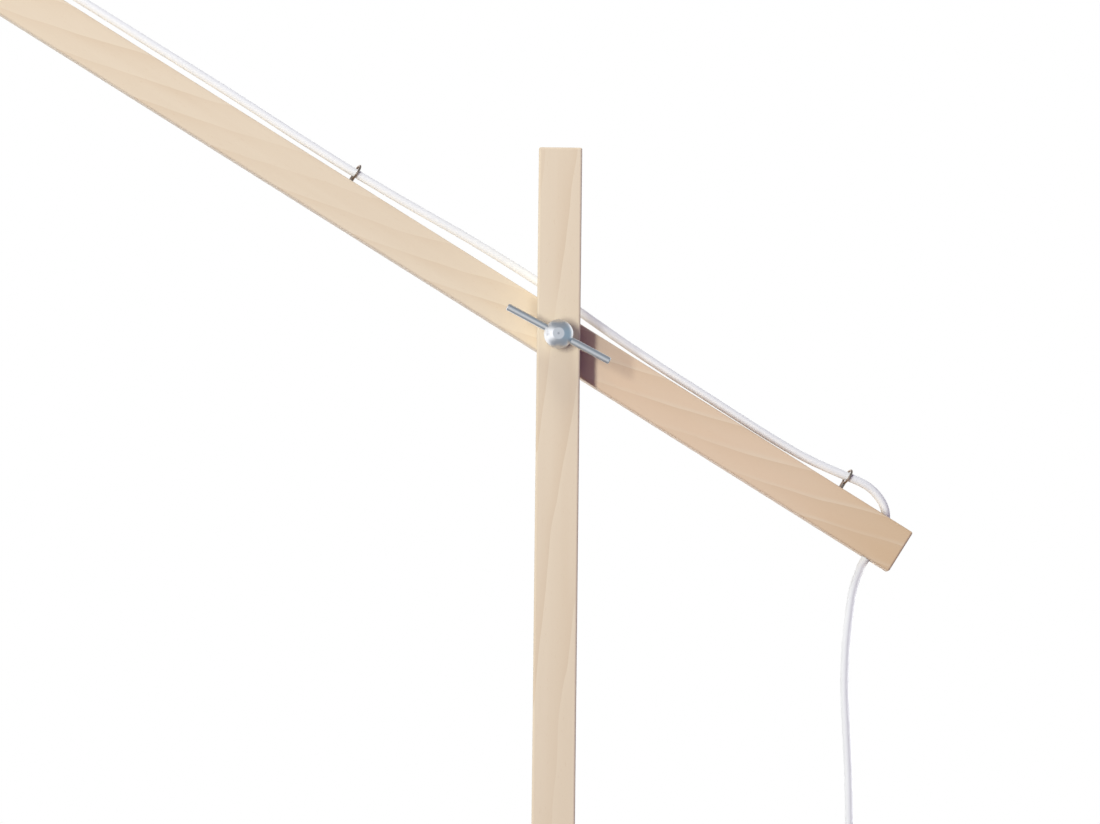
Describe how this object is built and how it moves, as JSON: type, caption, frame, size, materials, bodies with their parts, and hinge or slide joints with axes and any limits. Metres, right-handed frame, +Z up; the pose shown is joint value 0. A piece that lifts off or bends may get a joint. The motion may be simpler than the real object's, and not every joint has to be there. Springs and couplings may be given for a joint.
{
  "type": "articulated floor lamp",
  "caption": "Floor lamp with a square beech post on a round base and a sloping beech arm clamped by a ball knob with a cross bar; the lead runs along the arm to a hanging dome shade.",
  "frame": {"origin": "on the floor, under the middle of the base and the post", "axes": "+Z up along the post, +X towards the tail of the arm, -Y towards the clamp knob"},
  "size_m": [0.9312, 0.4609, 1.7316],
  "materials": {
    "felt": "pressed felt",
    "base_paint": "white powder coat",
    "beech": "planed, oiled beech",
    "zinc_steel": "bright zinc",
    "turned_steel": "turned and polished",
    "eye_wire": "zinc plated wire",
    "fibre": "pressed fibre",
    "cord_sheath": "smooth white sheath",
    "holder_plastic": "moulded white",
    "holder_block": "matt insulating block",
    "contact_brass": "plain brass",
    "shade_enamel": "spun and enamelled white",
    "bulb_metal": "rolled aluminium",
    "bulb_insulator": "dark insulator",
    "frosted_glass": "frosted inside",
    "switch_plastic": "moulded white",
    "rocker_plastic": "moulded pale grey",
    "relief_rubber": "soft moulded",
    "tie_strap": "hook and loop strap",
    "plug_plastic": "moulded white",
    "pin_metal": "nickel plated brass"
  },
  "bodies": {
    "stand": {"base_pad": "felt", "base_plate": "base_paint", "base_bolt": "zinc_steel", "locating_pin": "zinc_steel", "post_insert": "zinc_steel", "post": "beech", "hanging_cord": "cord_sheath", "bend_reliefs": "relief_rubber", "switch_base": "switch_plastic", "switch_cover": "switch_plastic", "rocker_pin": "zinc_steel", "switch_terminals": "contact_brass", "switch_screws": "zinc_steel", "cord_coil": "cord_sheath", "coil_tie": "tie_strap", "plug_relief": "relief_rubber", "plug_body": "plug_plastic", "plug_pins": "pin_metal"},
    "arm": {"arm": "beech", "friction_disc": "fibre", "pivot_bolt": "zinc_steel", "screw_eyes": "eye_wire", "arm_cord": "cord_sheath", "clamp_washer": "zinc_steel"},
    "knob": {"clamp_knob": "turned_steel", "cross_bar": "turned_steel"},
    "pendant": {"pendant_cord": "cord_sheath", "cord_grip": "holder_plastic", "grip_screw": "holder_plastic", "holder_cap": "holder_plastic", "holder_body": "holder_plastic", "holder_insert": "holder_block", "holder_contact": "contact_brass", "thread_sleeve": "contact_brass", "shade_ring": "holder_plastic", "shade": "shade_enamel", "bulb_cap": "bulb_metal", "bulb_tip": "bulb_insulator", "bulb_glass": "frosted_glass"},
    "rocker": {"switch_rocker": "rocker_plastic"}
  },
  "joints": [
    {"name": "arm_tilt", "type": "hinge", "parent": "stand", "child": "arm", "pos_m": [0, 0.0315, 1.382], "axis": [0, 1, 0], "range_deg": [-47, 28], "deforming": ["hanging_cord"]},
    {"name": "knob_turn", "type": "hinge", "parent": "arm", "child": "knob", "pos_m": [0, -0.0265, 1.382], "axis": [0, -1, 0], "range_deg": [0, 360]},
    {"name": "shade_swing", "type": "hinge", "parent": "arm", "child": "pendant", "pos_m": [-0.54211, 0.0315, 1.69544], "axis": [0, 1, 0], "range_deg": [-28, 47], "deforming": ["pendant_cord"]},
    {"name": "switch_rock", "type": "hinge", "parent": "stand", "child": "rocker", "pos_m": [0.205, 0.15, 0.017], "axis": [-1, 0, 0], "range_deg": [0, 16]}
  ],
  "couplings": [
    {"joint": "shade_swing", "follows": "arm_tilt", "ratio": -1}
  ]
}
